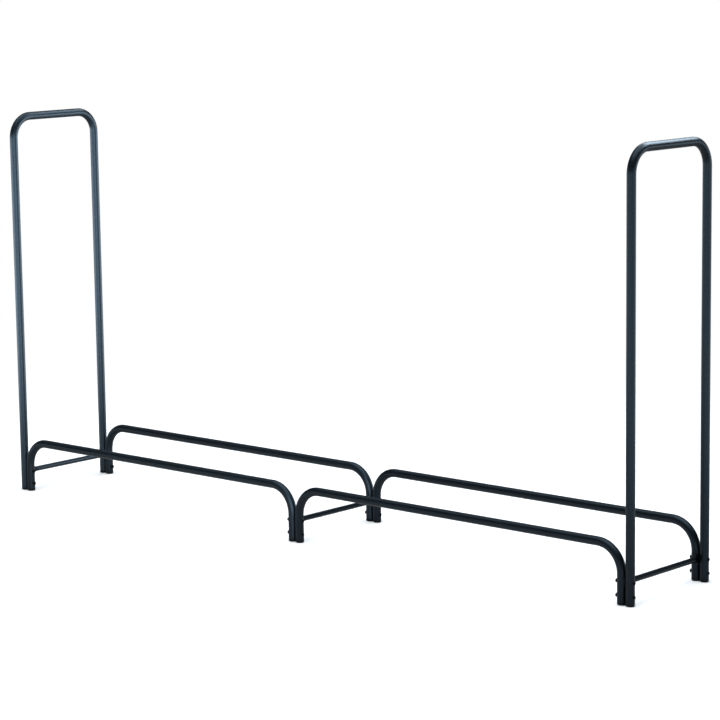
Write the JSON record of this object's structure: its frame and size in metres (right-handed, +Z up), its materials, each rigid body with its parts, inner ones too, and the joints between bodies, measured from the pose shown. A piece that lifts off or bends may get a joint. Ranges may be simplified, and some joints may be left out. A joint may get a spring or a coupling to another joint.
{
  "type": "firewood log rack",
  "caption": "Long open log rack of bent round steel tube: tall inverted-U end frames, low U-shaped side rails on paired legs, thin cross braces and plastic feet.",
  "frame": {"origin": "on the ground plane under the feet, midway between the end frames and midway between the front and rear legs", "axes": "+X along the rack towards the right end frame, +Y from the front rails to the rear rails, +Z up"},
  "size_m": [2.4442, 0.3684, 1.219],
  "materials": {
    "powder_coat": "black satin powder coat on steel tube",
    "black_zinc": "black zinc-plated steel, semi-matt",
    "foot_plastic": "moulded black polyethylene, matt"
  },
  "bodies": {
    "root": {"end_frame_left": "powder_coat", "end_frame_right": "powder_coat", "side_rail_front_left": "powder_coat", "side_rail_front_right": "powder_coat", "side_rail_rear_left": "powder_coat", "side_rail_rear_right": "powder_coat", "cross_brace_left": "powder_coat", "cross_brace_middle": "powder_coat", "cross_brace_right": "powder_coat", "foot_end_frame_left_front": "foot_plastic", "foot_end_frame_left_rear": "foot_plastic", "foot_end_frame_right_front": "foot_plastic", "foot_end_frame_right_rear": "foot_plastic", "foot_rail_front_left_outer": "foot_plastic", "foot_rail_front_left_inner": "foot_plastic", "foot_rail_front_right_outer": "foot_plastic", "foot_rail_front_right_inner": "foot_plastic", "foot_rail_rear_left_outer": "foot_plastic", "foot_rail_rear_left_inner": "foot_plastic", "foot_rail_rear_right_outer": "foot_plastic", "foot_rail_rear_right_inner": "foot_plastic", "bolts_front_left": "black_zinc", "bolts_front_middle": "black_zinc", "bolts_front_right": "black_zinc", "bolts_rear_left": "black_zinc", "bolts_rear_middle": "black_zinc", "bolts_rear_right": "black_zinc", "nuts_front_left": "black_zinc", "nuts_front_middle": "black_zinc", "nuts_front_right": "black_zinc", "nuts_rear_left": "black_zinc", "nuts_rear_middle": "black_zinc", "nuts_rear_right": "black_zinc"}
  },
  "joints": []
}
